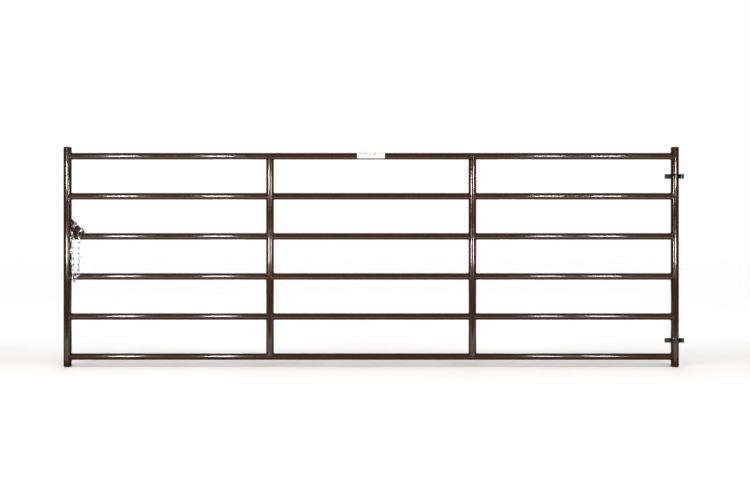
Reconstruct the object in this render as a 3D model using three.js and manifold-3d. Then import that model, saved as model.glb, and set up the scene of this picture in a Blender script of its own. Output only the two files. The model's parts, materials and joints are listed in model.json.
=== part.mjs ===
// A six-rail tubular livestock panel gate, hung on two clamp-on hinge straps and closed by a chain.
//
// Millimetres, +Z up. The origin is on the hinge axis, at the lower seat of the lower hinge eye.
// +X runs from the latch end to the hinge end, and the front of the gate faces -Y.

import * as THREE from 'three';
import { mergeVertices } from 'three/addons/utils/BufferGeometryUtils.js';
import Module from 'manifold-3d';

// ---------- driving dimensions ----------

const GATE_WIDTH = 3556; // over the outsides of the two end posts
const GATE_HEIGHT = 1270; // over the end caps
const POST_RADIUS = 22.225; // 1-3/4 in tube: end posts and stays
const RAIL_RADIUS = 19.05; // 1-1/2 in tube: rails
const TUBE_WALL = 1.6;
const GAP = 0.3; // left between pieces that touch

const RAIL_COUNT = 6;
const LOWEST_RAIL = 58; // rail axis above the foot
const RAIL_PITCH = 231.8;
const BAY_COUNT = 3; // the stays divide the gate into equal bays

const CAP_HEIGHT = 6;
const CAP_OVERHANG = 0.8;
const CAP_PLUG_LENGTH = 14;
const CAP_SKIN = 2;

const HINGE_OFFSET = 39.2; // hinge axis from the hinge post's axis
const UPPER_HINGE = 1100; // strap centre above the foot
const LOWER_HINGE = 152;
const STRAP_HEIGHT = 25.4;
const STRAP_THICKNESS = 4.8;
const STRAP_BORE = 22.9; // radius around the post
const EYE_BORE = 8.75; // radius, for a 5/8 in gate pin
const EAR_REACH = 56.2; // end of the ears from the post's axis
const EAR_GAP = 8;
const BOLT_REACH = 44; // bolt axis from the post's axis
const BOLT_RADIUS = 4.76; // 3/8 in
const BOLT_HOLE = 5.3;
const HEX_RADIUS = 8.25; // 9/16 in across the flats
const HEAD_THICKNESS = 6;
const NUT_THICKNESS = 8;
const BOLT_END = 4; // thread showing past the nut

const GUSSET_LEG = 84;
const GUSSET_THICKNESS = 4.76;
const GUSSET_CLIP = 6; // cut off its inner corner
const SLOT_WIDTH = 10;
const SLOT_FOOT = [11.15, 29.6]; // lowest point of the slot, right of and above the gusset's corner
const SLOT_LEAN = THREE.MathUtils.degToRad(25.5); // from upright, towards the hinge end
const SLOT_NECK = 14; // straight part of the slot, before its mouth flares
const MOUTH_FLARE = 10;
const CHAIN_HOLE = [63.7, 11.3];
const CHAIN_HOLE_RADIUS = 4.3;

const WIRE_RADIUS = 2.4; // chain wire
const CHAIN_PITCH = 32; // inside length of a link
const LINK_INNER_HALF = 5.5; // half the inside width of a link
const LINK_PLAY = 0.55; // by which a link's inside is longer than the chain's pitch
const HANG_LINKS = 8; // swinging links in each strand
const CHAIN_STANDOFF = 29.7; // strands in front of the rails' axes

const LABEL_LENGTH = 160;
const LABEL_RADIUS = 19.5;
const LABEL_THICKNESS = 0.5;
const LABEL_LOW = THREE.MathUtils.degToRad(-55); // edges of the label round the rail, up from the front
const LABEL_HIGH = THREE.MathUtils.degToRad(95);
const LABEL_CENTRE = -1; // from the gate's middle

const TUBE_SIDES = 24;
const BOLT_SIDES = 16;
const WIRE_SIDES = 6;
const CROWN_STEPS = 6;
const MERGE_WITHIN = 1e-4;

// ---------- places worked out from them ----------

const HINGE_POST_X = -HINGE_OFFSET;
const LATCH_POST_X = HINGE_POST_X - (GATE_WIDTH - 2 * POST_RADIUS);
const MIDDLE_X = (HINGE_POST_X + LATCH_POST_X) / 2;
const FOOT_Z = STRAP_HEIGHT / 2 - LOWER_HINGE;
const TOP_Z = FOOT_Z + GATE_HEIGHT;
const BAY = (HINGE_POST_X - LATCH_POST_X) / BAY_COUNT;
const railZ = (index) => FOOT_Z + LOWEST_RAIL + (RAIL_COUNT - index) * RAIL_PITCH; // 1 is the top rail
const GUSSET_RAIL = 3;
const CORNER = new THREE.Vector3(LATCH_POST_X + POST_RADIUS + GAP, 0, railZ(GUSSET_RAIL) + RAIL_RADIUS + GAP);

// ---------- materials ----------

function material(color, roughness, metalness) {
  return new THREE.MeshStandardMaterial({ color, roughness, metalness });
}

const PAINT = material(0x3a251c, 0.25, 0.2);
const BLACK_PLASTIC = material(0x101010, 0.45, 0);
const BLACK_STEEL = material(0x1c1e1c, 0.4, 0.8);
const ZINC = material(0xc9cccd, 0.35, 1);
const LABEL_WHITE = material(0xe9e6e2, 0.5, 0);

// ---------- solids ----------

const wasm = await Module();
wasm.setup();

function toSolid(geometry) {
  const bare = geometry.clone();
  bare.deleteAttribute('normal');
  bare.deleteAttribute('uv');
  const merged = mergeVertices(bare, MERGE_WITHIN);
  return new wasm.Manifold(
    new wasm.Mesh({
      numProp: 3,
      vertProperties: Float32Array.from(merged.attributes.position.array),
      triVerts: Uint32Array.from(merged.index.array),
    }),
  );
}

function toGeometry(solid) {
  const mesh = solid.getMesh();
  const geometry = new THREE.BufferGeometry();
  geometry.setAttribute('position', new THREE.BufferAttribute(Float32Array.from(mesh.vertProperties), 3));
  geometry.setIndex(new THREE.BufferAttribute(Uint32Array.from(mesh.triVerts), 1));
  geometry.computeVertexNormals();
  return geometry;
}

function cut(geometry, cutters) {
  return toGeometry(cutters.reduce((solid, cutter) => solid.subtract(toSolid(cutter)), toSolid(geometry)));
}

// A rod along Z from low to high, or along X or Y once turned.
function rod(radius, low, high, sides = TUBE_SIDES) {
  const geometry = new THREE.CylinderGeometry(radius, radius, high - low, sides);
  geometry.rotateX(Math.PI / 2);
  return geometry.translate(0, 0, (low + high) / 2);
}

// A tube along Z from low to high, whose section is a ring.
function tube(radius, low, high) {
  const inner = radius - TUBE_WALL;
  const section = [
    [inner, low],
    [radius, low],
    [radius, high],
    [inner, high],
    [inner, low],
  ];
  return lathe(section);
}

// A solid of revolution about Z, from a list of [radius, height].
function lathe(section, sides = TUBE_SIDES) {
  const geometry = new THREE.LatheGeometry(
    section.map(([radius, height]) => new THREE.Vector2(radius, height)),
    sides,
  );
  return geometry.rotateX(Math.PI / 2);
}

// A geometry made along Z is laid along X, and one side of its rim keeps facing up.
function alongX(geometry) {
  return geometry.rotateY(Math.PI / 2);
}

const gate = new THREE.Group();

function place(name, geometry, look, x = 0, y = 0, z = 0) {
  const mesh = new THREE.Mesh(geometry, look);
  mesh.name = name;
  mesh.position.set(x, y, z);
  gate.add(mesh);
  return mesh;
}

// ---------- end posts and their caps ----------

// A low dome above the tube's end, and a hollow plug inside it.
const capProfile = [
  [0, CAP_HEIGHT],
  [0.55 * POST_RADIUS, 0.9 * CAP_HEIGHT],
  [0.88 * POST_RADIUS, 0.62 * CAP_HEIGHT],
  [POST_RADIUS + CAP_OVERHANG, 0.25 * CAP_HEIGHT],
  [POST_RADIUS + CAP_OVERHANG, 0],
  [POST_RADIUS - TUBE_WALL - GAP, 0],
  [POST_RADIUS - TUBE_WALL - GAP, -CAP_PLUG_LENGTH],
  [POST_RADIUS - TUBE_WALL - GAP - CAP_SKIN, -CAP_PLUG_LENGTH],
  [POST_RADIUS - TUBE_WALL - GAP - CAP_SKIN, 0],
  [0, 0],
];

for (const [end, x] of [
  ['latch', LATCH_POST_X],
  ['hinge', HINGE_POST_X],
]) {
  const low = FOOT_Z + CAP_HEIGHT + GAP;
  const high = TOP_Z - CAP_HEIGHT - GAP;
  place(`${end}_post`, tube(POST_RADIUS, low, high), PAINT, x);
  place(`${end}_post_top_cap`, lathe([...capProfile].reverse()), BLACK_PLASTIC, x, 0, TOP_Z - CAP_HEIGHT);
  const footCap = place(`${end}_post_foot_cap`, lathe([...capProfile].reverse()), BLACK_PLASTIC, x);
  footCap.position.z = FOOT_Z + CAP_HEIGHT;
  footCap.rotation.x = Math.PI;
}

// ---------- rails, coped to the posts ----------

for (let index = 1; index <= RAIL_COUNT; index += 1) {
  const length = HINGE_POST_X - LATCH_POST_X;
  const posts = [-length / 2, length / 2].map((x) =>
    rod(POST_RADIUS + GAP, -2 * RAIL_RADIUS, 2 * RAIL_RADIUS).translate(x, 0, 0),
  );
  const rail = cut(alongX(tube(RAIL_RADIUS, -length / 2, length / 2)), posts);
  place(`rail_${index}`, rail, PAINT, MIDDLE_X, 0, railZ(index));
}

// ---------- stays, in short lengths saddled over the rails ----------

for (const [side, number] of [
  ['latch_side', 1],
  ['hinge_side', 2],
]) {
  for (let index = 1; index < RAIL_COUNT; index += 1) {
    const rails = [0, -RAIL_PITCH].map((z) =>
      alongX(rod(RAIL_RADIUS + GAP, -2 * POST_RADIUS, 2 * POST_RADIUS)).translate(0, 0, z),
    );
    const stay = cut(tube(POST_RADIUS, GAP - RAIL_PITCH, -GAP), rails);
    place(`${side}_stay_${index}`, stay, PAINT, LATCH_POST_X + number * BAY, 0, railZ(index));
  }
}

// ---------- hinge straps, each a collar, an eye and two ears pulled together by a bolt ----------

function strapOutline() {
  const outer = STRAP_BORE + STRAP_THICKNESS;
  const eye = EYE_BORE + STRAP_THICKNESS;
  const earFace = EAR_GAP / 2 + STRAP_THICKNESS;
  const earAngle = Math.asin(earFace / outer);
  const slitAngle = Math.asin(EAR_GAP / 2 / STRAP_BORE);
  const neckX = (HINGE_OFFSET ** 2 + outer ** 2 - eye ** 2) / (2 * HINGE_OFFSET);
  const neckY = Math.sqrt(outer ** 2 - neckX ** 2);
  const neckAngle = Math.atan2(neckY, neckX);
  const eyeAngle = Math.atan2(neckY, neckX - HINGE_OFFSET);
  const shape = new THREE.Shape();
  shape.moveTo(-EAR_REACH, -earFace);
  shape.absarc(0, 0, outer, Math.PI + earAngle, 2 * Math.PI - neckAngle, false);
  shape.absarc(HINGE_OFFSET, 0, eye, -eyeAngle, eyeAngle, false);
  shape.absarc(0, 0, outer, neckAngle, Math.PI - earAngle, false);
  shape.lineTo(-EAR_REACH, earFace);
  shape.lineTo(-EAR_REACH, EAR_GAP / 2);
  shape.absarc(0, 0, STRAP_BORE, Math.PI - slitAngle, slitAngle - Math.PI, true);
  shape.lineTo(-EAR_REACH, -EAR_GAP / 2);
  shape.closePath();
  shape.holes.push(new THREE.Path().absarc(HINGE_OFFSET, 0, EYE_BORE, 0, 2 * Math.PI, true));
  return shape;
}

function hexPrism(thickness) {
  return new THREE.CylinderGeometry(HEX_RADIUS, HEX_RADIUS, thickness, 6);
}

// The bolt lies along Y with its head at the front. Its shank starts inside the head.
function boltGeometry() {
  const earFace = EAR_GAP / 2 + STRAP_THICKNESS;
  const length = 2 * earFace + NUT_THICKNESS + BOLT_END;
  const shank = new THREE.CylinderGeometry(BOLT_RADIUS, BOLT_RADIUS, length + 1, BOLT_SIDES);
  shank.translate(0, (length - 1) / 2 - earFace, 0);
  const head = hexPrism(HEAD_THICKNESS).translate(0, -earFace - GAP - HEAD_THICKNESS / 2, 0);
  return toGeometry(toSolid(shank).add(toSolid(head)));
}

function nutGeometry() {
  const earFace = EAR_GAP / 2 + STRAP_THICKNESS;
  const radius = BOLT_RADIUS + GAP;
  const bore = new THREE.CylinderGeometry(radius, radius, 2 * NUT_THICKNESS, BOLT_SIDES);
  return cut(hexPrism(NUT_THICKNESS), [bore]).translate(0, earFace + GAP + NUT_THICKNESS / 2, 0);
}

for (const [level, height] of [
  ['upper', UPPER_HINGE],
  ['lower', LOWER_HINGE],
]) {
  const z = FOOT_Z + height;
  const blank = new THREE.ExtrudeGeometry(strapOutline(), {
    depth: STRAP_HEIGHT,
    bevelEnabled: false,
    curveSegments: 10,
  }).translate(0, 0, -STRAP_HEIGHT / 2);
  const hole = new THREE.CylinderGeometry(BOLT_HOLE, BOLT_HOLE, 4 * POST_RADIUS, BOLT_SIDES);
  hole.translate(-BOLT_REACH, 0, 0);
  place(`${level}_hinge_strap`, cut(blank, [hole]), BLACK_STEEL, HINGE_POST_X, 0, z);
  place(`${level}_hinge_bolt`, boltGeometry(), BLACK_STEEL, HINGE_POST_X - BOLT_REACH, 0, z);
  place(`${level}_hinge_nut`, nutGeometry(), BLACK_STEEL, HINGE_POST_X - BOLT_REACH, 0, z);
}

// ---------- latch gusset: a plate in the gate's plane with a chain slot and a chain hole ----------

// Directions in the plate: up the slot, and across it towards the hinge end.
const SLOT_UP = [Math.sin(SLOT_LEAN), Math.cos(SLOT_LEAN)];
const SLOT_ACROSS = [Math.cos(SLOT_LEAN), -Math.sin(SLOT_LEAN)];

function slotPoint(up, across) {
  return [0, 1].map((k) => SLOT_FOOT[k] + up * SLOT_UP[k] + across * SLOT_ACROSS[k]);
}

function gussetGeometry() {
  const shape = new THREE.Shape();
  shape.moveTo(GUSSET_CLIP, 0);
  shape.lineTo(GUSSET_LEG, 0);
  shape.lineTo(0, GUSSET_LEG);
  shape.lineTo(0, GUSSET_CLIP);
  shape.closePath();
  shape.holes.push(new THREE.Path().absarc(...CHAIN_HOLE, CHAIN_HOLE_RADIUS, 0, 2 * Math.PI, true));
  const half = SLOT_WIDTH / 2;
  const slot = new THREE.Shape();
  slot.moveTo(...slotPoint(half, -half));
  slot.absarc(...slotPoint(half, 0), half, Math.PI - SLOT_LEAN, 2 * Math.PI - SLOT_LEAN, false);
  slot.lineTo(...slotPoint(SLOT_NECK, half));
  slot.lineTo(...slotPoint(SLOT_NECK + 2 * MOUTH_FLARE, half + 2 * MOUTH_FLARE));
  slot.lineTo(...slotPoint(GUSSET_LEG, half + 2 * MOUTH_FLARE));
  slot.lineTo(...slotPoint(GUSSET_LEG, -half));
  slot.closePath();
  const plate = new THREE.ExtrudeGeometry(shape, {
    depth: GUSSET_THICKNESS,
    bevelEnabled: false,
    curveSegments: 8,
  });
  const opening = new THREE.ExtrudeGeometry(slot, {
    depth: 3 * GUSSET_THICKNESS,
    bevelEnabled: false,
    curveSegments: 5,
  }).translate(0, 0, -GUSSET_THICKNESS);
  const cutPlate = cut(plate, [opening]);
  return cutPlate.rotateX(Math.PI / 2).translate(0, GUSSET_THICKNESS / 2, 0);
}

place('latch_gusset', gussetGeometry(), PAINT, CORNER.x, CORNER.y, CORNER.z);

// ---------- chain ----------

// A link that hangs from the point top to the point bottom, which are on the inside of its two crowns.
// Its flat lies along the direction across.
function linkGeometry(top, bottom, across) {
  const down = bottom.clone().sub(top);
  const inside = down.length() + LINK_PLAY;
  down.normalize();
  const side = across.clone().addScaledVector(down, -across.dot(down)).normalize();
  const crown = LINK_INNER_HALF + WIRE_RADIUS;
  const straight = inside - 2 * LINK_INNER_HALF;
  const middle = top.clone().add(bottom).multiplyScalar(0.5);
  const path = [];
  for (const end of [1, -1]) {
    for (let step = 0; step <= CROWN_STEPS; step += 1) {
      const angle = (Math.PI * step) / CROWN_STEPS;
      const along = end * (straight / 2 + crown * Math.sin(angle));
      const out = end * crown * Math.cos(angle);
      path.push(middle.clone().addScaledVector(down, along).addScaledVector(side, out));
    }
  }
  return ringGeometry(path, down.clone().cross(side).normalize());
}

// A closed ring of round wire through the points of a flat path, whose plane has the given normal.
function ringGeometry(path, normal) {
  const count = path.length;
  const positions = [];
  for (let index = 0; index < count; index += 1) {
    const before = path[(index + count - 1) % count];
    const after = path[(index + 1) % count];
    const outward = after.clone().sub(before).normalize().cross(normal);
    for (let turn = 0; turn < WIRE_SIDES; turn += 1) {
      const angle = (2 * Math.PI * turn) / WIRE_SIDES;
      const point = path[index].clone();
      point.addScaledVector(outward, WIRE_RADIUS * Math.cos(angle));
      point.addScaledVector(normal, WIRE_RADIUS * Math.sin(angle));
      positions.push(...point.toArray());
    }
  }
  const indices = [];
  for (let index = 0; index < count; index += 1) {
    const next = (index + 1) % count;
    for (let turn = 0; turn < WIRE_SIDES; turn += 1) {
      const after = (turn + 1) % WIRE_SIDES;
      const a = index * WIRE_SIDES + turn;
      const b = next * WIRE_SIDES + turn;
      const c = next * WIRE_SIDES + after;
      const d = index * WIRE_SIDES + after;
      indices.push(a, b, c, a, c, d);
    }
  }
  const geometry = new THREE.BufferGeometry();
  geometry.setAttribute('position', new THREE.Float32BufferAttribute(positions, 3));
  geometry.setIndex(indices);
  geometry.computeVertexNormals();
  return geometry;
}

function link(name, top, bottom, across) {
  place(name, linkGeometry(top, bottom, across), ZINC, CORNER.x, CORNER.y, CORNER.z);
}

// The point at this depth and height that is a chain pitch from start, to its right or left.
function reach(start, y, z, side) {
  const drop = (y - start.y) ** 2 + (z - start.z) ** 2;
  return new THREE.Vector3(start.x + side * Math.sqrt(CHAIN_PITCH ** 2 - drop), y, z);
}

// All chain places are from the gusset's corner: x towards the hinge end, y to the back, z up.
const HANG_Y = -CHAIN_STANDOFF;
const HANG_Z = -22.9; // where both strands leave the rail and hang free

// The hooked link stands edgeways in the slot and slopes down to the front.
const HOOK_SLOPE = THREE.MathUtils.degToRad(55);
const HOOK_BACK = 8; // the inside of its rear crown, behind the plate's middle
const crownRadius = LINK_INNER_HALF + WIRE_RADIUS;
const hookRise =
  (crownRadius + WIRE_RADIUS + GAP + (GUSSET_THICKNESS / 2) * Math.sin(HOOK_SLOPE)) / Math.cos(HOOK_SLOPE);

function inSlotPlane(y, up) {
  const [x, z] = slotPoint(up, 0);
  return new THREE.Vector3(x, y, z);
}

const hookTop = inSlotPlane(HOOK_BACK, hookRise + HOOK_BACK * Math.tan(HOOK_SLOPE));
const hookBottom = inSlotPlane(
  HOOK_BACK - CHAIN_PITCH * Math.cos(HOOK_SLOPE),
  hookRise + HOOK_BACK * Math.tan(HOOK_SLOPE) - CHAIN_PITCH * Math.sin(HOOK_SLOPE),
);

// The chain's free end hangs behind the plate, too wide to follow through the slot.
const slotSide = new THREE.Vector3(SLOT_ACROSS[0], 0, SLOT_ACROSS[1]);
const END_LEAN = THREE.MathUtils.degToRad(15);
const END_HEIGHT = 24.6; // of its top, up the slot
const endDown = new THREE.Vector3(-Math.sin(END_LEAN), 0, -Math.cos(END_LEAN));
const endTop = inSlotPlane(GUSSET_THICKNESS / 2 + WIRE_RADIUS + 3 * GAP, END_HEIGHT);
link('chain_left_00', endTop, endTop.clone().addScaledVector(endDown, CHAIN_PITCH), slotSide);

// Two more links drape over the shoulder of the rail.
const SHOULDER = [-26.6, 8.6]; // y and z of the joint in front of the shoulder
const shoulder = reach(hookBottom, SHOULDER[0], SHOULDER[1], -1);
const leftTop = reach(shoulder, HANG_Y, HANG_Z, 1);

// The other end is threaded through the hole by the gusset's tip, and stands out over the rail.
const HOLE_SLOPE = THREE.MathUtils.degToRad(18);
const HOLE_TURN = THREE.MathUtils.degToRad(15); // from straight out, towards the latch end
const HOLE_BACK = 5.2; // the inside of its rear crown, behind the plate's middle
const HOLE_REST = 0.5; // its lower wire rests this much below the middle of the hole
const outward = new THREE.Vector3(-Math.sin(HOLE_TURN), -Math.cos(HOLE_TURN), 0);
const holeDirection = outward.clone().multiplyScalar(Math.cos(HOLE_SLOPE));
holeDirection.z = -Math.sin(HOLE_SLOPE);
const holeRise = crownRadius / Math.cos(HOLE_SLOPE) - HOLE_REST;
const holeTop = new THREE.Vector3(CHAIN_HOLE[0], 0, CHAIN_HOLE[1] + holeRise);
holeTop.addScaledVector(holeDirection, HOLE_BACK / holeDirection.y);
const holeBottom = holeTop.clone().addScaledVector(holeDirection, CHAIN_PITCH);
link('chain_right_01', holeTop, holeBottom, new THREE.Vector3(0, 0, 1));

// The next link hangs from the lower half of its front crown.
const DRAPE = THREE.MathUtils.degToRad(11);
const saddle = holeBottom.clone().addScaledVector(holeDirection, -LINK_INNER_HALF);
saddle.addScaledVector(outward, crownRadius * Math.sin(DRAPE));
saddle.z += WIRE_RADIUS + GAP - crownRadius * Math.cos(DRAPE);
const rightTop = reach(saddle, HANG_Y, HANG_Z, -1);

// Below that both strands hang free and lean together, each link more than the one above it.
// Their joints stay level in pairs.
const SLACKNESS = 8.9; // a link's weight over the loop's sideways pull

function strandJoints(start, side) {
  const joints = [start];
  for (let above = HANG_LINKS - 0.5; above > 1; above -= 1) {
    const drop = CHAIN_PITCH * Math.cos(Math.atan(1 / (above * SLACKNESS)));
    const last = joints.at(-1);
    joints.push(reach(last, HANG_Y, last.z - drop, side));
  }
  return joints;
}

// The lowest link hangs from the left strand, and the last link on the right slants down into it.
const LAST_LEAN = THREE.MathUtils.degToRad(6);
const leftJoints = strandJoints(leftTop, 1);
const rightJoints = strandJoints(rightTop, -1);
const leftEnd = leftJoints.at(-1).clone();
leftEnd.x += CHAIN_PITCH * Math.sin(LAST_LEAN);
leftEnd.z -= CHAIN_PITCH * Math.cos(LAST_LEAN);
leftJoints.push(leftEnd);
const slantDrop = CHAIN_PITCH * Math.cos(LAST_LEAN) - WIRE_RADIUS - 2 * GAP;
const slant = Math.acos(slantDrop / (CHAIN_PITCH + WIRE_RADIUS));
const rightEnd = rightJoints.at(-1).clone();
rightEnd.x -= CHAIN_PITCH * Math.sin(slant);
rightEnd.z -= CHAIN_PITCH * Math.cos(slant);
rightJoints.push(rightEnd);

// Where a link's inside end lies when it hangs at a bend from the link above. A link turned in its
// own plane turns about the wire it hangs from. One turned in the plane of the link above turns
// about its own wire.
function seat(joint, above, below) {
  const hold = WIRE_RADIUS + LINK_PLAY / 2;
  const bend = below.down.clone().sub(above.down);
  const aside = bend.dot(above.side);
  const inPlane = bend.dot(below.side);
  const share = (aside ** 2 - inPlane ** 2) / (aside ** 2 + inPlane ** 2);
  const seated = joint.clone().addScaledVector(above.side, hold * aside);
  seated.addScaledVector(below.side, -hold * inPlane);
  return seated.addScaledVector(above.down, hold * share * (above.down.dot(below.down) - 1));
}

function hangLinks(strand, first, joints, acrosses) {
  let above;
  acrosses.forEach((across, index) => {
    const length = joints[index + 1].distanceTo(joints[index]);
    const down = joints[index + 1].clone().sub(joints[index]).normalize();
    const side = across.clone().addScaledVector(down, -across.dot(down)).normalize();
    const top = above ? seat(joints[index], above, { down, side }) : joints[index];
    const number = String(first + index).padStart(2, '0');
    link(`chain_${strand}_${number}`, top, top.clone().addScaledVector(down, length), side);
    above = { down, side };
  });
}

// Each link's flat is turned about upright by these angles, a quarter turn or so from its neighbours.
const LEFT_TURNS = [40, -45, 26, -39, 42, -38, 44, -36, 76, -10];
const RIGHT_TURNS = [16, -52, 17, -44, 40, -38, 76, -9, 102];

function turned(degrees) {
  const angle = THREE.MathUtils.degToRad(degrees);
  return new THREE.Vector3(Math.cos(angle), Math.sin(angle), 0);
}

const hooked = [new THREE.Vector3(0, 1, 0), ...LEFT_TURNS.map(turned)];
hangLinks('left', 1, [hookTop, hookBottom, shoulder, ...leftJoints], hooked);
hangLinks('right', 2, [saddle, ...rightJoints], RIGHT_TURNS.map(turned));

// ---------- label round the top rail ----------

function labelGeometry() {
  const shape = new THREE.Shape();
  shape.absarc(0, 0, LABEL_RADIUS + LABEL_THICKNESS, LABEL_LOW, LABEL_HIGH, false);
  shape.absarc(0, 0, LABEL_RADIUS, LABEL_HIGH, LABEL_LOW, true);
  shape.closePath();
  const sheet = new THREE.ExtrudeGeometry(shape, {
    depth: LABEL_LENGTH,
    bevelEnabled: false,
    curveSegments: 6,
  }).translate(0, 0, -LABEL_LENGTH / 2);
  // The shape's +x becomes the front, its +y stays up, and its depth runs along X.
  const turn = new THREE.Matrix4().makeBasis(
    new THREE.Vector3(0, -1, 0),
    new THREE.Vector3(0, 0, 1),
    new THREE.Vector3(-1, 0, 0),
  );
  return sheet.applyMatrix4(turn);
}

place('label', labelGeometry(), LABEL_WHITE, MIDDLE_X + LABEL_CENTRE, 0, railZ(1));

export default gate;
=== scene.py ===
"""The looks of a tubular livestock gate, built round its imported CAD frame."""

import json
import math
import random

import bmesh
import bpy
import numpy as np
from mathutils import Matrix, Vector


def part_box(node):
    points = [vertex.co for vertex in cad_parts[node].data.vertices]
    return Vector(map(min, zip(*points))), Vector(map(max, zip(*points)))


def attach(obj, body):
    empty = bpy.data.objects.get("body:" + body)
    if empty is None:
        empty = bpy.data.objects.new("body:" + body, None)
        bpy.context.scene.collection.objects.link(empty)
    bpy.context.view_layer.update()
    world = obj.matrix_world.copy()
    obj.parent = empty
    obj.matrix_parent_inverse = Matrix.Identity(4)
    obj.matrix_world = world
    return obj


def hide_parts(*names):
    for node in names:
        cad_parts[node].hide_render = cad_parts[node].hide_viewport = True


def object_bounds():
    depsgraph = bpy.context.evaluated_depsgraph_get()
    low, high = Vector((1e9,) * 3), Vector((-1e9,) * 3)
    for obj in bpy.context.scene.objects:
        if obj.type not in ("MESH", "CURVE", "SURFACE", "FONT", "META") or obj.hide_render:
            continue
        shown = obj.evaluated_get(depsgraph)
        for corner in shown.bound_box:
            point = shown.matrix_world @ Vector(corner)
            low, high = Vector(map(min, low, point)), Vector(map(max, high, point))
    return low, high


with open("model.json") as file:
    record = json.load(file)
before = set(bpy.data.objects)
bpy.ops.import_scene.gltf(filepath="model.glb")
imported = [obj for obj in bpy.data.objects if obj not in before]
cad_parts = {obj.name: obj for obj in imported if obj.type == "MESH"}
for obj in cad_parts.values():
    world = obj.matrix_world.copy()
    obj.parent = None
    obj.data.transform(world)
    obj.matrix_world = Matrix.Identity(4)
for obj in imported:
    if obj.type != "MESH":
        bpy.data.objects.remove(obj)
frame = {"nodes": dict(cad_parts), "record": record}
cad_low, cad_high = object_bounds()
random.seed(11)

MM = 0.001
TAU = 2 * math.pi

# ---------- sizes, from the frame ----------


def middle(node):
    low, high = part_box(node)
    return (Vector(low) + Vector(high)) / 2


def width(node):
    low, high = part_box(node)
    return high[0] - low[0]


LATCH_X = middle("latch_post").x
HINGE_X = middle("hinge_post").x
POST_R = width("latch_post") / 2
RAIL_Z = [middle(f"rail_{k}").z for k in range(1, 7)]
RAIL_R = (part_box("rail_1")[1][2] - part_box("rail_1")[0][2]) / 2
STAY_X = {side: middle(f"{side}_stay_1").x for side in ("latch_side", "hinge_side")}
FOOT_Z, TOP_Z = cad_low.z, cad_high.z
GATE_MIDDLE_X = (LATCH_X + HINGE_X) / 2
WALL = 1.6 * MM
HIDDEN_INSET = 0.4 * MM  # how far the tubes' ends run into what they join
SAME_POINT = 0.01 * MM
EDGE_ROUND = 0.7 * MM  # on the plate and straps

# ---------- mesh helpers ----------


def make_object(name, mesh, look, sharp=38):
    """Smooth-shaded, but for the edges that turn by more than the sharp angle, in degrees."""
    mesh.materials.clear()
    mesh.materials.append(look)
    mesh.validate()
    mesh.shade_smooth()
    mesh.set_sharp_from_angle(angle=math.radians(sharp))
    piece = bpy.data.objects.new(name, mesh)
    bpy.context.scene.collection.objects.link(piece)
    return piece


def finish_piece(piece, body, slot, *nodes):
    """Says which body a piece rides on, and the CAD nodes it stands in for. The slot argument is not used."""
    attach(piece, body)
    if nodes:
        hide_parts(*nodes)


def mesh_of(name, points, faces):
    mesh = bpy.data.meshes.new(name)
    mesh.from_pydata([tuple(p) for p in points], [], faces)
    return mesh


def mesh_from(bm, name):
    bmesh.ops.recalc_face_normals(bm, faces=bm.faces)
    mesh = bpy.data.meshes.new(name)
    bm.to_mesh(mesh)
    bm.free()
    return mesh


def loft(name, rings, looped):
    """A mesh through equal rings of points, whose last ring joins the first, or whose ends are capped."""
    count = len(rings[0])
    points = [p for ring in rings for p in ring]
    faces = []
    last = len(rings) if looped else len(rings) - 1
    for k in range(last):
        a, b = k * count, (k + 1) % len(rings) * count
        for i in range(count):
            j = (i + 1) % count
            faces.append((a + i, a + j, b + j, b + i))
    if not looped:
        faces.append(tuple(range(count))[::-1])
        faces.append(tuple(range((len(rings) - 1) * count, len(rings) * count)))
    bm = bmesh.new()
    mesh = mesh_of(name, points, faces)
    bm.from_mesh(mesh)
    bpy.data.meshes.remove(mesh)
    return mesh_from(bm, name)


def turned_profile(name, profile, centre, axis, sides=72):
    """A closed solid of revolution, from the (radius, height) pairs round its half section."""
    turn = Vector((0, 0, 1)).rotation_difference(Vector(axis)).to_matrix()
    rings = []
    for i in range(sides):
        angle = TAU * i / sides
        c, s = math.cos(angle), math.sin(angle)
        rings.append([Vector(centre) + turn @ Vector((r * c, r * s, h)) for r, h in profile])
    bm = bmesh.new()
    mesh = loft(name, rings, True)
    bm.from_mesh(mesh)
    bpy.data.meshes.remove(mesh)
    bmesh.ops.remove_doubles(bm, verts=bm.verts, dist=1e-6)
    bmesh.ops.dissolve_degenerate(bm, edges=bm.edges, dist=1e-7)
    return mesh_from(bm, name)


def bevel_sharp(bm, size, segments, least):
    """Rounds the edges of a mesh that turn by more than the least angle, in degrees."""
    edges = [e for e in bm.edges if e.is_manifold and e.calc_face_angle() > math.radians(least)]
    rounding = {"offset": size, "segments": segments, "profile": 0.6, "clamp_overlap": True}
    bmesh.ops.bevel(bm, geom=edges, affect="EDGES", **rounding)


def smooth_path(points, closed, step):
    """Points spaced evenly along a path."""
    path = [np.array(p, float) for p in points]
    if closed:
        path.append(path[0])
    path = np.array(path)
    along = np.concatenate([[0], np.cumsum(np.linalg.norm(np.diff(path, axis=0), axis=1))])
    count = max(6, round(along[-1] / step))
    at = np.linspace(0, along[-1], count + (0 if closed else 1), endpoint=not closed)
    return [Vector([np.interp(t, along, path[:, k]) for k in range(3)]) for t in at], along[-1]


BEAD_SIDES = 10
RIPPLE = 3.1 * MM  # between the ripples of a weld


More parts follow.
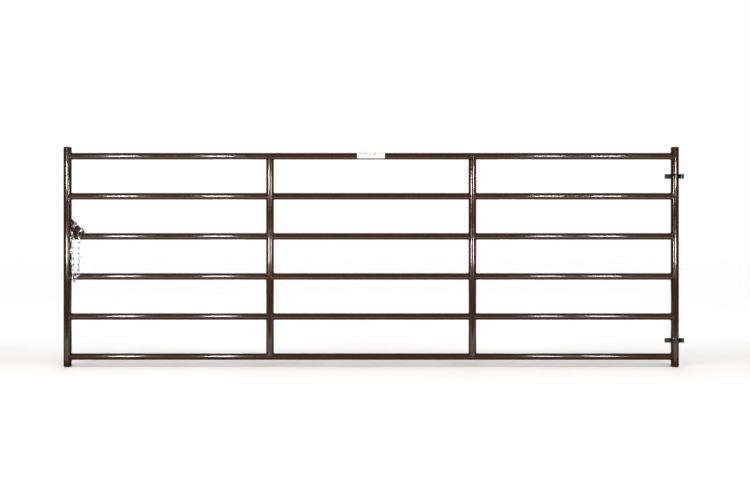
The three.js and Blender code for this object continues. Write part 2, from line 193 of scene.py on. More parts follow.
def weld_bead(bm, points, radius, closed=True):
    """Adds a rippled weld bead along a path."""
    path, length = smooth_path(points, closed, RIPPLE / 4)
    count = len(path)
    ripples = max(4, round(length / RIPPLE))
    phase = random.random() * TAU
    rings = []
    side = None
    for k, point in enumerate(path):
        after = path[(k + 1) % count] if closed or k + 1 < count else point
        before = path[k - 1] if closed or k else point
        ahead = (after - before).normalized()
        if side is None:
            side = ahead.orthogonal().normalized()
        side = (side - ahead * side.dot(ahead)).normalized()
        up = ahead.cross(side)
        saw = (ripples * k / count + phase / TAU) % 1
        swell = 0.92 + 0.16 * (1 - abs(2 * saw - 1) ** 2)
        swell *= 1 + 0.06 * math.sin(5.3 * TAU * k / count + phase)
        if not closed:
            swell *= math.sqrt(max(0.04, 1 - abs(2 * k / (count - 1) - 1) ** 8))
        ring = []
        for i in range(BEAD_SIDES):
            angle = TAU * i / BEAD_SIDES
            reach = radius * swell
            ring.append(point + side * (reach * math.cos(angle)) + up * (reach * math.sin(angle)))
        rings.append([bm.verts.new(p) for p in ring])
    last = count if closed else count - 1
    for k in range(last):
        here, there = rings[k], rings[(k + 1) % count]
        # The section may have turned on the way round, so a closed bead is joined where it fits best.
        shift = 0
        if closed and k == count - 1:
            shift = min(range(BEAD_SIDES), key=lambda s: (here[0].co - there[s].co).length)
        for i in range(BEAD_SIDES):
            j = (i + 1) % BEAD_SIDES
            a, b = there[(j + shift) % BEAD_SIDES], there[(i + shift) % BEAD_SIDES]
            bm.faces.new((here[i], here[j], a, b))
    if not closed:
        bm.faces.new(rings[0][::-1])
        bm.faces.new(rings[-1])


# ---------- node material helpers ----------


class Look:
    """A material whose nodes are made one by one."""

    def __init__(self, name):
        self.material = bpy.data.materials.new(name)
        self.material.use_nodes = True
        self.nodes = self.material.node_tree.nodes
        self.links = self.material.node_tree.links
        self.shader = self.nodes["Principled BSDF"]
        self.place = self.nodes.new("ShaderNodeTexCoord").outputs["Object"]

    def set(self, **values):
        for name, value in values.items():
            self.shader.inputs[name.replace("_", " ")].default_value = value
        return self

    def noise(self, scale, detail=3.0, roughness=0.5):
        node = self.nodes.new("ShaderNodeTexNoise")
        node.inputs["Scale"].default_value = scale
        node.inputs["Detail"].default_value = detail
        node.inputs["Roughness"].default_value = roughness
        self.links.new(self.place, node.inputs["Vector"])
        return node.outputs["Fac"]

    def ramp(self, source, stops, hard=False):
        """A colour ramp through (position, colour) stops. A hard one changes in steps."""
        node = self.nodes.new("ShaderNodeValToRGB")
        node.color_ramp.interpolation = "CONSTANT" if hard else "EASE"
        elements = node.color_ramp.elements
        while len(elements) < len(stops):
            elements.new(0.5)
        for element, (position, color) in zip(elements, stops):
            element.position = position
            element.color = (*color, 1)
        self.links.new(source, node.inputs["Fac"])
        return node.outputs["Color"]

    def spread(self, source, low, high, new_low, new_high):
        """Maps low to high onto new_low to new_high."""
        node = self.nodes.new("ShaderNodeMapRange")
        for name, value in zip(("From Min", "From Max", "To Min", "To Max"), (low, high, new_low, new_high)):
            node.inputs[name].default_value = value
        self.links.new(source, node.inputs["Value"])
        return node.outputs["Result"]

    def math(self, operation, a, b):
        node = self.nodes.new("ShaderNodeMath")
        node.operation = operation
        for socket, value in zip(node.inputs, (a, b)):
            if isinstance(value, (int, float)):
                socket.default_value = value
            else:
                self.links.new(value, socket)
        return node.outputs[0]

    def mix(self, factor, a, b):
        node = self.nodes.new("ShaderNodeMix")
        node.data_type = "RGBA"
        self.links.new(factor, node.inputs["Factor"])
        for name, value in (("A", a), ("B", b)):
            socket = next(s for s in node.inputs if s.name == name and s.type == "RGBA")
            if isinstance(value, tuple):
                socket.default_value = (*value, 1)
            else:
                self.links.new(value, socket)
        return next(s for s in node.outputs if s.type == "RGBA")

    def geometry(self, output):
        return self.nodes.new("ShaderNodeNewGeometry").outputs[output]

    def split(self, source):
        """The X, Y and Z of a vector, by name."""
        node = self.nodes.new("ShaderNodeSeparateXYZ")
        self.links.new(source, node.inputs[0])
        return node.outputs

    def facing_up(self):
        return self.split(self.geometry("Normal"))["Z"]

    def color(self, socket):
        self.links.new(socket, self.shader.inputs["Base Color"])
        return self

    def rough(self, socket):
        self.links.new(socket, self.shader.inputs["Roughness"])
        return self

    def bump(self, *heights):
        """Bumps, each (height, strength, distance), laid one over another."""
        under = None
        for height, strength, distance in heights:
            node = self.nodes.new("ShaderNodeBump")
            node.inputs["Strength"].default_value = strength
            node.inputs["Distance"].default_value = distance
            self.links.new(height, node.inputs["Height"])
            if under:
                self.links.new(under, node.inputs["Normal"])
            under = node.outputs["Normal"]
        self.links.new(under, self.shader.inputs["Normal"])
        return self


def paint_look(name, shade=1.0):
    """Gloss dark brown powder coat, with orange peel, faint unevenness and a little dust on top."""
    look = Look(name).set(IOR=1.42, Coat_Weight=0.5, Coat_Roughness=0.03, Coat_IOR=1.45)
    broad = look.noise(9, 4, 0.6)
    browns = (0.3, (0.0180, 0.0069, 0.0031)), (0.7, (0.0250, 0.0097, 0.0045))
    # a shade below 1 darkens the browns, which is painted shade
    brown = look.ramp(broad, [(at, tuple(shade * value for value in color)) for at, color in browns])
    dust = look.math("MULTIPLY", look.spread(look.facing_up(), 0.7, 1.0, 0, 0.06), look.noise(60, 5, 0.7))
    edges = look.spread(look.geometry("Pointiness"), 0.58, 0.70, 0, 0.35)
    worn = look.mix(edges, brown, (0.060, 0.032, 0.020))
    look.color(look.mix(dust, worn, (0.085, 0.068, 0.055)))
    look.rough(look.spread(look.noise(30, 5, 0.65), 0.3, 0.7, 0.08, 0.16))
    return look.bump((look.noise(420, 2), 0.035, 0.3 * MM), (look.noise(130, 2), 0.022, 0.6 * MM)).material


def steel_look():
    """Black finish on hinge steel, dulled and faintly green-grey, rubbed on its corners."""
    look = Look("black_steel").set(IOR=1.45, Metallic=0.85, Coat_Weight=0.6, Coat_Roughness=0.05)
    tone = look.ramp(look.noise(55, 5, 0.65), [(0.32, (0.014, 0.016, 0.014)), (0.68, (0.032, 0.036, 0.032))])
    rubbed = look.spread(look.geometry("Pointiness"), 0.56, 0.68, 0, 0.35)
    look.color(look.mix(rubbed, tone, (0.12, 0.12, 0.11)))
    look.rough(look.spread(look.noise(140, 4), 0.3, 0.7, 0.14, 0.26))
    return look.bump((look.noise(900, 3), 0.15, 0.15 * MM), (look.noise(120, 3), 0.08, 0.3 * MM)).material


def zinc_look():
    """Bright zinc plate on chain, slightly clouded, with painted shade darkening its hollows."""
    look = Look("zinc_chain").set(Metallic=1.0)
    tone = look.ramp(look.noise(240, 4, 0.6), [(0.3, (0.42, 0.43, 0.44)), (0.7, (0.66, 0.67, 0.68))])
    # painted shade: the links darken where their surface curves inward
    painted_shade_in_hollows = look.spread(look.geometry("Pointiness"), 0.40, 0.50, 0.45, 0)
    look.color(look.mix(painted_shade_in_hollows, tone, (0.30, 0.31, 0.31)))
    look.rough(look.spread(look.noise(500, 3), 0.3, 0.7, 0.16, 0.36))
    return look.bump((look.noise(1400, 2), 0.15, 0.1 * MM), (look.noise(300, 2), 0.1, 0.3 * MM)).material


def plastic_look():
    """Black moulded plastic with a fine grain."""
    look = Look("black_plastic").set(IOR=1.46, Specular_IOR_Level=0.35)
    look.color(look.ramp(look.noise(70, 4), [(0.3, (0.004, 0.004, 0.005)), (0.7, (0.009, 0.009, 0.010))]))
    look.rough(look.spread(look.noise(300, 3), 0.3, 0.7, 0.38, 0.55))
    return look.bump((look.noise(1600, 2), 0.2, 0.1 * MM)).material


PAINT = paint_look("brown_paint")
SHADED_PLATE_PAINT = paint_look("plate_paint_painted_shade", 0.45)  # painted shade: the same coat as the tubes, darkened to stand for the shade on the latch plate
STEEL = steel_look()
ZINC = zinc_look()
PLASTIC = plastic_look()

# ---------- posts ----------

POST_SIDES = 96
TUBE_CHAMFER = 0.5 * MM

for end, x in (("latch", LATCH_X), ("hinge", HINGE_X)):
    low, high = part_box(f"{end}_post")
    section = [
        (POST_R - WALL, low[2]),
        (POST_R - TUBE_CHAMFER, low[2]),
        (POST_R, low[2] + TUBE_CHAMFER),
        (POST_R, high[2] - TUBE_CHAMFER),
        (POST_R - TUBE_CHAMFER, high[2]),
        (POST_R - WALL, high[2]),
    ]
    mesh = turned_profile("post", section, (x, 0, 0), (0, 0, 1), POST_SIDES)
    finish_piece(make_object(f"{end}_post_tube", mesh, PAINT), "gate", "painted_tube", f"{end}_post")

# ---------- end caps ----------

CAP_HEIGHT = 6 * MM  # above the end of the tube
CAP_OVERHANG = 0.8 * MM
CAP_EDGE = 1.7 * MM  # height of the rim's upright side
DOME_STEPS = 8
PLUG_DEPTH = 13.5 * MM
PLUG_GAP = 0.3 * MM
RIB = 0.7 * MM
RIB_PITCH = 3.4 * MM


def cap_section():
    """Half section of a cap from its middle outward: a low dome, a rounded rim, and a ribbed plug."""
    rim = POST_R + CAP_OVERHANG
    plug = POST_R - WALL - PLUG_GAP
    section = [(0, CAP_HEIGHT), (0.30 * rim, CAP_HEIGHT)]
    for k in range(1, DOME_STEPS + 1):
        angle = math.pi / 2 * k / DOME_STEPS
        height = CAP_EDGE + (CAP_HEIGHT - CAP_EDGE) * math.cos(angle)
        section.append((0.55 * rim + 0.45 * rim * math.sin(angle), height))
    section += [(rim, 0.5 * MM), (rim - 0.3 * MM, 0.1 * MM), (plug - 0.2 * MM, 0.1 * MM)]
    for k in range(3):
        z = -3 * MM - RIB_PITCH * k
        section += [(plug - RIB, z + 1 * MM), (plug, z), (plug - RIB, z - 1 * MM)]
    section += [(plug - 1 * MM, -PLUG_DEPTH), (plug - 2 * MM, -PLUG_DEPTH)]
    return section + [(plug - 2 * MM, -1 * MM), (0, -1 * MM)]


for end, x in (("latch", LATCH_X), ("hinge", HINGE_X)):
    for level, z, up in (("top", TOP_Z - CAP_HEIGHT, 1), ("foot", FOOT_Z + CAP_HEIGHT, -1)):
        mesh = turned_profile("cap", cap_section(), (x, 0, z), (0, 0, up))
        cap = make_object(f"{end}_post_{level}_plug", mesh, PLASTIC)
        finish_piece(cap, "gate", "end_cap", f"{end}_post_{level}_cap")

# ---------- rails, coped to the posts ----------

RAIL_SIDES = 72


def post_depth(y):
    """How far a post's surface stands from its axis along X, at this depth."""
    return math.sqrt(POST_R**2 - y * y)


for k, z in enumerate(RAIL_Z, 1):
    rings = {key: [] for key in ("inner_left", "outer_left", "outer_right", "inner_right")}
    for i in range(RAIL_SIDES):
        c, s = math.cos(TAU * i / RAIL_SIDES), math.sin(TAU * i / RAIL_SIDES)
        for radius, key in ((RAIL_R, "outer"), (RAIL_R - WALL, "inner")):
            y, up = radius * c, z + radius * s
            depth = post_depth(y) - HIDDEN_INSET
            rings[f"{key}_left"].append(Vector((LATCH_X + depth, y, up)))
            rings[f"{key}_right"].append(Vector((HINGE_X - depth, y, up)))
    rail = make_object(f"rail_tube_{k}", loft("rail", list(rings.values()), True), PAINT)
    finish_piece(rail, "gate", "painted_tube", f"rail_{k}")

# ---------- stays, saddled over the rails ----------

STAY_SIDES = 120
STAY_GAP = 0.12 * MM  # between a stay's end and the rail's middle, where the stay is wider than the rail


def saddle(y):
    """How far above or below a rail's axis the end of a stay lies, at this depth."""
    seat = RAIL_R - HIDDEN_INSET
    return math.sqrt(seat**2 - y * y) if abs(y) < seat else STAY_GAP


for side, x in STAY_X.items():
    for k in range(1, 6):
        top_z, bottom_z = RAIL_Z[k - 1], RAIL_Z[k]
        rings = {key: [] for key in ("inner_top", "outer_top", "outer_bottom", "inner_bottom")}
        for i in range(STAY_SIDES):
            c, s = math.cos(TAU * i / STAY_SIDES), math.sin(TAU * i / STAY_SIDES)
            for radius, key in ((POST_R, "outer"), (POST_R - WALL, "inner")):
                rise = saddle(radius * s)
                rings[f"{key}_top"].append(Vector((x + radius * c, radius * s, top_z - rise)))
                rings[f"{key}_bottom"].append(Vector((x + radius * c, radius * s, bottom_z + rise)))
        stay = make_object(f"{side}_stay_tube_{k}", loft("stay", list(rings.values()), True), PAINT)
        finish_piece(stay, "gate", "painted_tube", f"{side}_stay_{k}")

# ---------- welds ----------

WELD_R = 3.2 * MM
STAY_WELD_R = 0.9 * WELD_R
PLATE_WELD_R = 2.4 * MM
PLATE_WELD_SPAN = 8, 78  # mm from the plate's corner
WELD_STAND_OFF = 0.3 * MM


def rail_end_path(post_x, toward, z):
    """Where a rail meets a post."""
    path = []
    for i in range(RAIL_SIDES):
        y, rise = RAIL_R * math.cos(TAU * i / RAIL_SIDES), RAIL_R * math.sin(TAU * i / RAIL_SIDES)
        path.append((post_x + toward * (post_depth(y) + WELD_STAND_OFF), y, z + rise))
    return path


def saddle_path(x, z, up):
    """Where a stay's end meets a rail, above it or below it."""
    path = []
    for i in range(2 * STAY_SIDES):
        c, s = math.cos(TAU * i / 2 / STAY_SIDES), math.sin(TAU * i / 2 / STAY_SIDES)
        y = POST_R * s
        rise = math.sqrt(RAIL_R**2 - y * y) if abs(y) < RAIL_R else 0
        path.append((x + POST_R * c, y, z + up * rise))
    return path


def finish_weld(bm, name):
    """Ends a weld's mesh. Welds are in no CAD node, so they replace none."""
    finish_piece(make_object(name, mesh_from(bm, "weld"), PAINT, 60), "gate", "painted_tube")


for name, post_x, toward in (("latch_post", LATCH_X, 1), ("hinge_post", HINGE_X, -1)):
    for k, z in enumerate(RAIL_Z, 1):
        bm = bmesh.new()
        weld_bead(bm, rail_end_path(post_x, toward, z), WELD_R)
        finish_weld(bm, f"{name}_weld_{k}")

for side, x in STAY_X.items():
    for k, z in enumerate(RAIL_Z, 1):
        bm = bmesh.new()
        if k > 1:
            weld_bead(bm, saddle_path(x, z, 1), STAY_WELD_R)
        if k < len(RAIL_Z):
            weld_bead(bm, saddle_path(x, z, -1), STAY_WELD_R)
        finish_weld(bm, f"{side}_weld_{k}")

# ---------- latch plate ----------

bm = bmesh.new()
bm.from_mesh(frame["nodes"]["latch_gusset"].data)
bmesh.ops.remove_doubles(bm, verts=bm.verts, dist=SAME_POINT)
bmesh.ops.dissolve_limit(bm, angle_limit=math.radians(1), verts=bm.verts, edges=bm.edges)
bevel_sharp(bm, EDGE_ROUND, 3, 50)
plate = make_object("latch_plate", mesh_from(bm, "latch_plate"), SHADED_PLATE_PAINT, 40)
finish_piece(plate, "gate", "painted_tube", "latch_gusset")

plate_low, plate_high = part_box("latch_gusset")
bm = bmesh.new()
for y in (plate_low[1], plate_high[1]):
    upright = [(plate_low[0], y, plate_low[2] + t * MM) for t in PLATE_WELD_SPAN]
    level = [(plate_low[0] + t * MM, y, plate_low[2]) for t in PLATE_WELD_SPAN]
    weld_bead(bm, upright, PLATE_WELD_R, closed=False)
    weld_bead(bm, level, PLATE_WELD_R, closed=False)
finish_weld(bm, "latch_plate_welds")

# ---------- hinge straps, bolts and nuts ----------

COLLAR_BORE = 22.9 * MM  # the bores are radii, and the reaches are from the post's axis
STRAP_THICK = 4.8 * MM
EYE_BORE = 8.75 * MM
EYE_REACH = 39.2 * MM
EAR_REACH = 56.2 * MM
EAR_HALF_GAP = 4 * MM
EAR_FACE = EAR_HALF_GAP + STRAP_THICK
BOLT_REACH = 44 * MM
BOLT_R = 4.76 * MM
HEAD_FACE = -EAR_FACE - 0.2 * MM
SHANK_OVERLAP = 0.3 * MM  # the shank starts inside the head
HEX_R = 8.25 * MM
HEX_SIDES = 48
WASHER_FACE_CUT = 0.9 * MM  # how deep a hexagon's corners are turned down
WASHER_FACE_R = 0.885  # of HEX_R
THREAD_PITCH = 1.59 * MM
THREAD_DEPTH = 0.75 * MM
THREAD_SIDES = 32
THREAD_ROWS = 6  # of points, per turn
TIP_CHAMFER = 0.8 * MM
TIP_SLOPE = 0.9
WASHER_R = 9.6 * MM
WASHER_THICK = 1.3 * MM
WASHER_SIDES = 40
NUT_OFF = 1.2 * MM  # the hexagon starts just inside the washer


def arc(centre_x, radius, start, stop, steps):
    """Points round an arc whose centre is on the X axis."""
    angles = [start + (stop - start) * k / steps for k in range(steps + 1)]
    return [(centre_x + radius * math.cos(angle), radius * math.sin(angle)) for angle in angles]


def strap_outline():
    """From above: two ears toward -X, a collar round the post, and an eye toward +X."""
    outer = COLLAR_BORE + STRAP_THICK
    eye = EYE_BORE + STRAP_THICK
    ear_angle = math.asin(EAR_FACE / outer)
    slit_angle = math.asin(EAR_HALF_GAP / COLLAR_BORE)
    neck_x = (EYE_REACH**2 + outer**2 - eye**2) / (2 * EYE_REACH)
    neck_y = math.sqrt(outer**2 - neck_x**2)
    neck = math.atan2(neck_y, neck_x)
    eye_angle = math.atan2(neck_y, neck_x - EYE_REACH)
    return (
        [(-EAR_REACH, -EAR_FACE)]
        + arc(0, outer, math.pi + ear_angle, TAU - neck, 40)
        + arc(EYE_REACH, eye, -eye_angle, eye_angle, 40)[1:-1]
        + arc(0, outer, neck, math.pi - ear_angle, 40)
        + [(-EAR_REACH, EAR_FACE), (-EAR_REACH, EAR_HALF_GAP)]
        + arc(0, COLLAR_BORE, math.pi - slit_angle, slit_angle - math.pi, 72)
        + [(-EAR_REACH, -EAR_HALF_GAP)]
    )


def plate_from_outline(name, loops, thickness, bevel):
    """A flat plate with rounded edges, about the XY plane, from an outline and its holes."""
    curve = bpy.data.curves.new(name, "CURVE")
    curve.dimensions = "2D"
    curve.fill_mode = "BOTH"
    curve.extrude = thickness / 2 - bevel
    curve.bevel_depth = bevel
    curve.bevel_resolution = 2
    curve.offset = -bevel
    for loop in loops:
        spline = curve.splines.new("POLY")
        spline.points.add(len(loop) - 1)
        for point, (px, py) in zip(spline.points, loop):
            point.co = (px, py, 0, 1)
        spline.use_cyclic_u = True
    holder = bpy.data.objects.new(name, curve)
    bpy.context.scene.collection.objects.link(holder)
    made = bpy.data.meshes.new_from_object(holder.evaluated_get(bpy.context.evaluated_depsgraph_get()))
    bpy.data.objects.remove(holder)
    bpy.data.curves.remove(curve)
    bm = bmesh.new()
    bm.from_mesh(made)
    bpy.data.meshes.remove(made)
    bmesh.ops.remove_doubles(bm, verts=bm.verts, dist=SAME_POINT)
    return bm


def skin(bm, loops, looped=False):
    """Joins each loop of points to the next. If looped, the last joins the first; if not, both are filled."""
    count = len(loops[0])
    after = loops[1:] + loops[:1] if looped else loops[1:]
    for a, b in zip(loops, after):
        for i in range(count):
            j = (i + 1) % count
            bm.faces.new((a[i], a[j], b[j], b[i]))
    if not looped:
        bm.faces.new(loops[0][::-1])
        bm.faces.new(loops[-1])


def hex_prism(bm, low, high, crown):
    """A hexagon along Y from low to high, turned to a round face at high if crown is 1, at low if -1."""
    face, plain = (high, low) if crown > 0 else (low, high)
    levels = sorted([(plain, False), (face - crown * WASHER_FACE_CUT, False), (face, True)])
    loops = []
    for y, turned in levels:
        loop = []
        for i in range(HEX_SIDES):
            angle = TAU * i / HEX_SIDES
            share = math.cos(math.pi / 6) / math.cos((angle % (math.pi / 3)) - math.pi / 6)
            radius = HEX_R * (min(share, WASHER_FACE_R) if turned else share)
            loop.append(bm.verts.new((radius * math.sin(angle), y, radius * math.cos(angle))))
        loops.append(loop)
    skin(bm, loops)


def threaded_end(bm, low, high):
    """The bolt's threaded shank along Y, with a chamfered tip at high."""
    rows = round((high - low) / THREAD_PITCH) * THREAD_ROWS
    loops = []
    for k in range(rows + 1):
        y = low + (high - low) * k / rows
        loop = []
        for i in range(THREAD_SIDES):
            turn = (y / THREAD_PITCH + i / THREAD_SIDES) % 1
            reach = BOLT_R - THREAD_DEPTH * abs(2 * turn - 1)
            reach = min(reach, BOLT_R - TIP_CHAMFER + max(0, high - y) * TIP_SLOPE)
            angle = TAU * i / THREAD_SIDES
            loop.append(bm.verts.new((reach * math.sin(angle), y, reach * math.cos(angle))))
        loops.append(loop)
    skin(bm, loops)


def washer(bm, y):
    """A washer on the bolt, from y up."""
    loops = []
    for radius, up in ((BOLT_R, 0), (WASHER_R, 0), (WASHER_R, WASHER_THICK), (BOLT_R, WASHER_THICK)):
        angles = [TAU * i / WASHER_SIDES for i in range(WASHER_SIDES)]
        loops.append([bm.verts.new((radius * math.sin(a), y + up, radius * math.cos(a))) for a in angles])
    skin(bm, loops, looped=True)


for level in ("upper", "lower"):
    body = f"{level}_hinge"
    low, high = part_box(f"{level}_hinge_strap")
    z = middle(f"{level}_hinge_strap").z
    bore = arc(EYE_REACH, EYE_BORE, 0, TAU, 48)[:-1]
    bm = plate_from_outline("strap", [strap_outline(), bore], high[2] - low[2], EDGE_ROUND)
    bmesh.ops.transform(bm, matrix=Matrix.Translation((HINGE_X, 0, z)), verts=bm.verts)
    strap = make_object(f"{level}_strap", mesh_from(bm, "strap"), STEEL, 35)
    finish_piece(strap, body, "hinge_steel", f"{level}_hinge_strap")

    bolt_axis = Matrix.Translation((HINGE_X - BOLT_REACH, 0, z))
    low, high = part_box(f"{level}_hinge_bolt")
    bm = bmesh.new()
    hex_prism(bm, low[1], HEAD_FACE, -1)
    threaded_end(bm, HEAD_FACE - SHANK_OVERLAP, high[1])
    bmesh.ops.transform(bm, matrix=bolt_axis, verts=bm.verts)
    bolt = make_object(f"{level}_bolt", mesh_from(bm, "bolt"), STEEL, 28)
    finish_piece(bolt, body, "hinge_steel", f"{level}_hinge_bolt")

    low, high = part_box(f"{level}_hinge_nut")
    bm = bmesh.new()
    hex_prism(bm, low[1] + NUT_OFF, high[1], 1)
    washer(bm, low[1])
    bmesh.ops.transform(bm, matrix=bolt_axis, verts=bm.verts)
    nut = make_object(f"{level}_nut", mesh_from(bm, "nut"), STEEL, 28)
    finish_piece(nut, body, "hinge_steel", f"{level}_hinge_nut")

# ---------- chain ----------

WIRE_R = 2.35 * MM  # a little under the CAD's 2.4, for clearance between bent links
LINK_HALF = 5.5 * MM  # from a link's long axis to the inside of its wire
WIRE_SIDES = 18
CROWN_STEPS, SIDE_STEPS = 20, 10
LINK_WELD = 0.13  # of WIRE_R
LINK_WELD_REACH = 1.6 * MM


def link_mesh(node):
    """A smooth link where the CAD link is. Its weld shows as a slight swelling on one side."""
    data = frame["nodes"][node].data
    points = np.array([v.co for v in data.vertices])
    centre = points.mean(axis=0)
    _, _, axes = np.linalg.svd(points - centre, full_matrices=False)
    down, across = Vector(axes[0]), Vector(axes[1])
    normal = down.cross(across)
    reach = max((points - centre) @ axes[0]) - WIRE_R  # from the middle to a crown's wire
    crown = LINK_HALF + WIRE_R
    straight = reach - crown
    path = []
    for end in (1, -1):
        for k in range(CROWN_STEPS + 1):
            angle = math.pi * k / CROWN_STEPS
            path.append((end * crown * math.cos(angle), end * (straight + crown * math.sin(angle))))
        for k in range(1, SIDE_STEPS):
            path.append((-end * crown, end * (straight - 2 * straight * k / SIDE_STEPS)))
    rings = []
    count = len(path)
    for k, (px, pz) in enumerate(path):
        ax, az = path[(k + 1) % count]
        bx, bz = path[k - 1]
        ahead = (Vector((ax - bx, 0, az - bz))).normalized()
        out = Vector((ahead.z, 0, -ahead.x))
        swell = 1.0
        if px < -0.9 * crown:  # the straight side that has the weld
            swell += LINK_WELD * math.exp(-((pz / LINK_WELD_REACH) ** 2))
        r = WIRE_R * swell
        ring = []
        for i in range(WIRE_SIDES):
            angle = TAU * i / WIRE_SIDES
            local = Vector((px, r * math.sin(angle), pz)) + out * (r * math.cos(angle))
            ring.append(Vector(centre) + across * local.x + normal * local.y + down * local.z)
        rings.append(ring)
    return loft("link", rings, True)


for body, nodes in frame["record"]["behaviour"]["bodies"].items():
    for node in nodes:
        if node.startswith("chain_"):
            link = make_object(node.replace("chain_", "link_"), link_mesh(node), ZINC, 60)
            finish_piece(link, body, "chain_steel", node)

# ---------- label ----------


def label_look():
    """White film printed with plain coloured bars, placed in shares of the label's width and height."""
    look = Look("label_film").set(IOR=1.45, Coat_Weight=0.4, Coat_Roughness=0.15)
    generated = look.split(look.nodes.new("ShaderNodeTexCoord").outputs["Generated"])
    across, up = generated["X"], generated["Z"]
    white = look.ramp(look.noise(90, 3), [(0.3, (0.58, 0.565, 0.55)), (0.7, (0.66, 0.645, 0.63))])

    def between(low, high, source):
        stops = [(0.0, (0, 0, 0)), (low, (1, 1, 1)), (high, (0, 0, 0))]
        return look.ramp(source, stops, hard=True)

    color = white
    bars = [
        (0.06, 0.38, 0.62, 0.90, (0.56, 0.42, 0.44)),
        (0.06, 0.36, 0.50, 0.56, (0.62, 0.50, 0.52)),
        (0.43, 0.50, 0.52, 0.88, (0.40, 0.37, 0.38)),
        (0.53, 0.56, 0.56, 0.88, (0.52, 0.49, 0.50)),
        (0.58, 0.67, 0.52, 0.88, (0.36, 0.34, 0.36)),
        (0.71, 0.80, 0.50, 0.88, (0.54, 0.50, 0.36)),
        (0.84, 0.95, 0.50, 0.88, (0.52, 0.50, 0.38)),
        (0.43, 0.95, 0.36, 0.42, (0.60, 0.58, 0.56)),
        (0.00, 1.00, 0.00, 0.10, (0.22, 0.21, 0.21)),
    ]
    for left, right, bottom, top, tint in bars:
        inside = look.math("MULTIPLY", between(left, right, across), between(bottom, top, up))
        color = look.mix(inside, color, tint)
    look.color(color)
    look.rough(look.spread(look.noise(200, 3), 0.3, 0.7, 0.35, 0.5))
    return look.bump((look.noise(60, 3), 0.15, 0.3 * MM)).material


LABEL_R = 20.0 * MM
LABEL_THICK = 0.45 * MM
LABEL_CORNER = 5 * MM
start, stop = math.radians(-55), math.radians(95)  # up round the rail, from its front
columns, rows = 60, 30
label_low, label_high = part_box("label")
half_length = (label_high[0] - label_low[0]) / 2
half_arc = (stop - start) / 2 * LABEL_R
grid = []
for r in range(rows + 1):
    v = -1 + 2 * r / rows
    line = []
    for c in range(columns + 1):
        u = -1 + 2 * c / columns
        # The corners are rounded by drawing in the ends of the rows near the top and bottom edges.
        edge = max(0, abs(v) * half_arc - (half_arc - LABEL_CORNER))
        shrink = LABEL_CORNER - math.sqrt(max(0, LABEL_CORNER**2 - edge**2))
        px = middle("label").x + u * (half_length - shrink)
        angle = (start + stop) / 2 + v * (stop - start) / 2
        line.append((px, angle))
    grid.append(line)
bm = bmesh.new()
for radius in (LABEL_R, LABEL_R - LABEL_THICK):
    for line in grid:
        for px, angle in line:
            bm.verts.new((px, -radius * math.cos(angle), RAIL_Z[0] + radius * math.sin(angle)))
bm.verts.ensure_lookup_table()
stride = columns + 1
layer = stride * (rows + 1)
for base in (0, layer):
    for r in range(rows):
        for c in range(columns):
            a = base + r * stride + c
            bm.faces.new([bm.verts[i] for i in (a, a + 1, a + 1 + stride, a + stride)])
border = list(range(stride))
border += [r * stride + columns for r in range(1, rows + 1)]
border += [rows * stride + c for c in range(columns - 1, -1, -1)]
border += [r * stride for r in range(rows - 1, 0, -1)]
for i, a in enumerate(border):
    b = border[(i + 1) % len(border)]
    bm.faces.new([bm.verts[k] for k in (a, b, b + layer, a + layer)])
label = make_object("rail_label", mesh_from(bm, "label"), label_look(), 50)
finish_piece(label, "gate", "label_film", "label")

# ---------- floor ----------


def floor_look():
    """Pale floor, with painted shade: its colour is a little darker along the gate, so that the cast shadow
    there isn't washed out.
    """
    look = Look("floor").set(Roughness=0.8, Specular_IOR_Level=0.2)
    away = look.math("ABSOLUTE", look.split(look.place)["Y"], 0)
    # painted shade: the floor's colour darkens toward the gate
    shade = look.spread(away, 0.4, 2.0, 0.635, 0.84)
    look.color(look.math("MULTIPLY", shade, look.spread(look.noise(3, 3), 0.3, 0.7, 0.99, 1.01)))
    return look.bump((look.noise(40, 3), 0.02, 1 * MM)).material


FLOOR_DROP = 1 * MM
FLOOR_HALF = 60.0
BAND_HALF = 5.0
BAND_BACK, BAND_FRONT = -0.25, -1.6
floor_material = floor_look()


def floor_piece(name, left, right, front, back):
    z = FOOT_Z - FLOOR_DROP
    corners = ((left, front), (right, front), (right, back), (left, back))
    points = [(GATE_MIDDLE_X + x, y, z) for x, y in corners]
    piece = make_object(name, mesh_of(name, points, [(0, 1, 2, 3)]), floor_material)
    return piece


# Only a band of it in front of the gate shows in the gloss, as the line of light low on each rail.
floor_piece("floor_band", -BAND_HALF, BAND_HALF, BAND_FRONT, BAND_BACK)
for name, *sides in (
    ("floor_front", -FLOOR_HALF, FLOOR_HALF, -FLOOR_HALF, BAND_FRONT),
    ("floor_back", -FLOOR_HALF, FLOOR_HALF, BAND_BACK, FLOOR_HALF),
    ("floor_left", -FLOOR_HALF, -BAND_HALF, BAND_FRONT, BAND_BACK),
    ("floor_right", BAND_HALF, FLOOR_HALF, BAND_FRONT, BAND_BACK),
):
    floor_piece(name, *sides).visible_glossy = False

# ---------- light ----------


def area_light(name, at, aim, size, radiance, color):
    """A rectangular lamp as bright as radiance says, whatever its size."""
    lamp = bpy.data.lights.new(name, "AREA")
    lamp.shape = "RECTANGLE"
    lamp.size, lamp.size_y = size
    lamp.energy = radiance * math.pi * size[0] * size[1]
    lamp.color = color
    holder = bpy.data.objects.new(name, lamp)
    holder.location = at
    holder.rotation_euler = (Vector(aim) - Vector(at)).to_track_quat("-Z", "Y").to_euler()
    bpy.context.scene.collection.objects.link(holder)


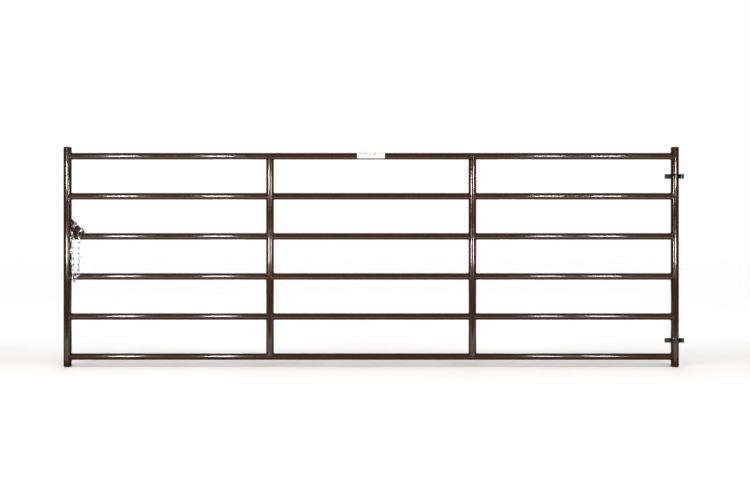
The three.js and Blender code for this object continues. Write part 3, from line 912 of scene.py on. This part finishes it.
# Four pairs of small studio lamps in front, whose reflections are the streaks on the tubes.
LAMP_Y = -2.7
LAMP_WHITE = (1.0, 0.93, 0.90)
LAMP_COLUMNS = [(-2.31, 105), (-1.43, 98), (1.62, 76), (2.155, 86)]
LAMP_HEIGHTS = [1.37, 0.69]
for number, (x, radiance) in enumerate(LAMP_COLUMNS):
    for height in LAMP_HEIGHTS:
        at = (GATE_MIDDLE_X + x, LAMP_Y, FOOT_Z + height)
        aim = (GATE_MIDDLE_X + x * 0.6, 0, FOOT_Z + 0.65)
        area_light(f"lamp_{number}_{height}", at, aim, (0.26, 0.24), radiance, LAMP_WHITE)

# Two weaker ones low down behind.
for x in (-1.3, 1.3):
    at = (GATE_MIDDLE_X + x, 2.4, FOOT_Z + 0.15)
    aim = (GATE_MIDDLE_X + x * 0.7, 0, FOOT_Z + 0.8)
    area_light(f"lamp_back_{x}", at, aim, (0.3, 0.3), 10, LAMP_WHITE)


def soft_sun(name, energy, elevation, angle):
    """Soft light that isn't seen in the gloss. Elevation, in degrees, is from the horizon at the back."""
    sun = bpy.data.lights.new(name, "SUN")
    sun.energy = energy
    sun.angle = math.radians(angle)
    holder = bpy.data.objects.new(name, sun)
    holder.rotation_euler = (math.radians(elevation - 90), 0, 0)
    holder.visible_glossy = False
    bpy.context.scene.collection.objects.link(holder)


soft_sun("overhead", 3.0, 107, 50)
soft_sun("from_behind", 1.6, 25, 60)

# The room is white to look at. In reflections it is dim in front, nearly dark overhead and to both sides, and
# lighter behind the gate.
world = bpy.data.worlds.new("studio")
world.use_nodes = True
bpy.context.scene.world = world
nodes, links = world.node_tree.nodes, world.node_tree.links
sky = nodes["Background"]
sky.inputs["Color"].default_value = (1, 1, 1, 1)
way = nodes.new("ShaderNodeSeparateXYZ")
links.new(nodes.new("ShaderNodeTexCoord").outputs["Generated"], way.inputs[0])


def ranged(source, low, high, new_low, new_high):
    node = nodes.new("ShaderNodeMapRange")
    for name, value in zip(("From Min", "From Max", "To Min", "To Max"), (low, high, new_low, new_high)):
        node.inputs[name].default_value = value
    links.new(source, node.inputs["Value"])
    return node


def combined(operation, *sources):
    node = nodes.new("ShaderNodeMath")
    node.operation = operation
    for source, socket in zip(sources, node.inputs):
        links.new(source, socket)
    return node.outputs[0]


forward = ranged(way.outputs["Y"], -0.1, 0.5, 0.09, 0.50).outputs[0]
overhead = ranged(way.outputs["Z"], 0.25, 0.80, 1.0, 0.05).outputs[0]
sideways = ranged(combined("ABSOLUTE", way.outputs["X"]), 0.65, 0.90, 1.0, 0.10).outputs[0]
level = ranged(nodes.new("ShaderNodeLightPath").outputs["Is Camera Ray"], 0, 1, 0, 1)
links.new(combined("MULTIPLY", combined("MULTIPLY", forward, overhead), sideways), level.inputs["To Min"])
links.new(level.outputs[0], sky.inputs["Strength"])

# ---------- camera ----------

CAMERA_DISTANCE = 4.5
CAMERA_HEIGHT = 0.64  # above the foot
CAMERA_ASIDE = 0.022  # from the gate's middle
CAMERA_SHIFT = 0.0080
SENSOR = 36
FRAME_WIDTH = 4.338  # of the view, at the gate
camera_data = bpy.data.cameras.new("camera")
camera_data.sensor_width = SENSOR
camera_data.lens = SENSOR * CAMERA_DISTANCE / FRAME_WIDTH
camera_data.shift_y = CAMERA_SHIFT
camera = bpy.data.objects.new("camera", camera_data)
camera.location = (GATE_MIDDLE_X + CAMERA_ASIDE, -CAMERA_DISTANCE, FOOT_Z + CAMERA_HEIGHT)
camera.rotation_euler = (math.pi / 2, 0, 0)
bpy.context.scene.collection.objects.link(camera)
bpy.context.scene.camera = camera
bpy.context.scene.view_settings.view_transform = "Standard"
